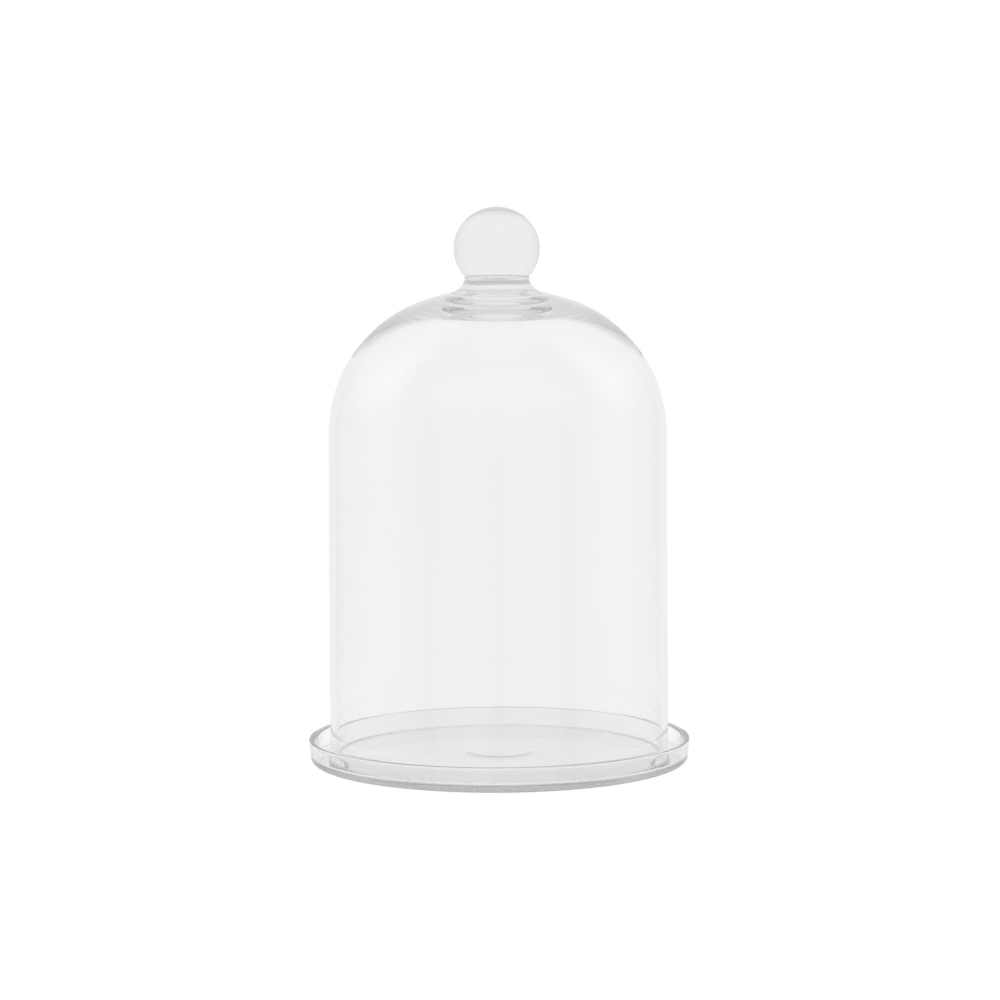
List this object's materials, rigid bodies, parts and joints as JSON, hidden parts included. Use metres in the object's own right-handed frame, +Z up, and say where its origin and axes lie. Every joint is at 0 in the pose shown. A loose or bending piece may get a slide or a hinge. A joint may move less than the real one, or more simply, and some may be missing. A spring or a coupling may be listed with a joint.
{
  "type": "glass cloche",
  "caption": "Tall clear glass bell with a solid ball handle, lifting straight off a shallow round glass tray with an upturned rim.",
  "frame": {"origin": "middle of the tray's underside, on the surface the cloche stands on", "axes": "+Z up along the axis of the bell and the tray; the cloche is round, so +X and +Y are free"},
  "size_m": [0.203, 0.203, 0.2951],
  "materials": {
    "pressed_glass": "pressed clear glass, fire polished, fine ripple",
    "blown_glass": "mouth-blown clear glass, polished, slight waviness, lip ground flat and matt",
    "solid_glass": "solid gathered clear glass, fire polished"
  },
  "bodies": {
    "tray": {"tray": "pressed_glass"},
    "bell": {"dome": "blown_glass", "knob": "solid_glass"}
  },
  "joints": [
    {"name": "bell_lift", "type": "slide", "parent": "tray", "child": "bell", "axis": [0, 0, 1], "range_m": [0, 0.26]}
  ]
}
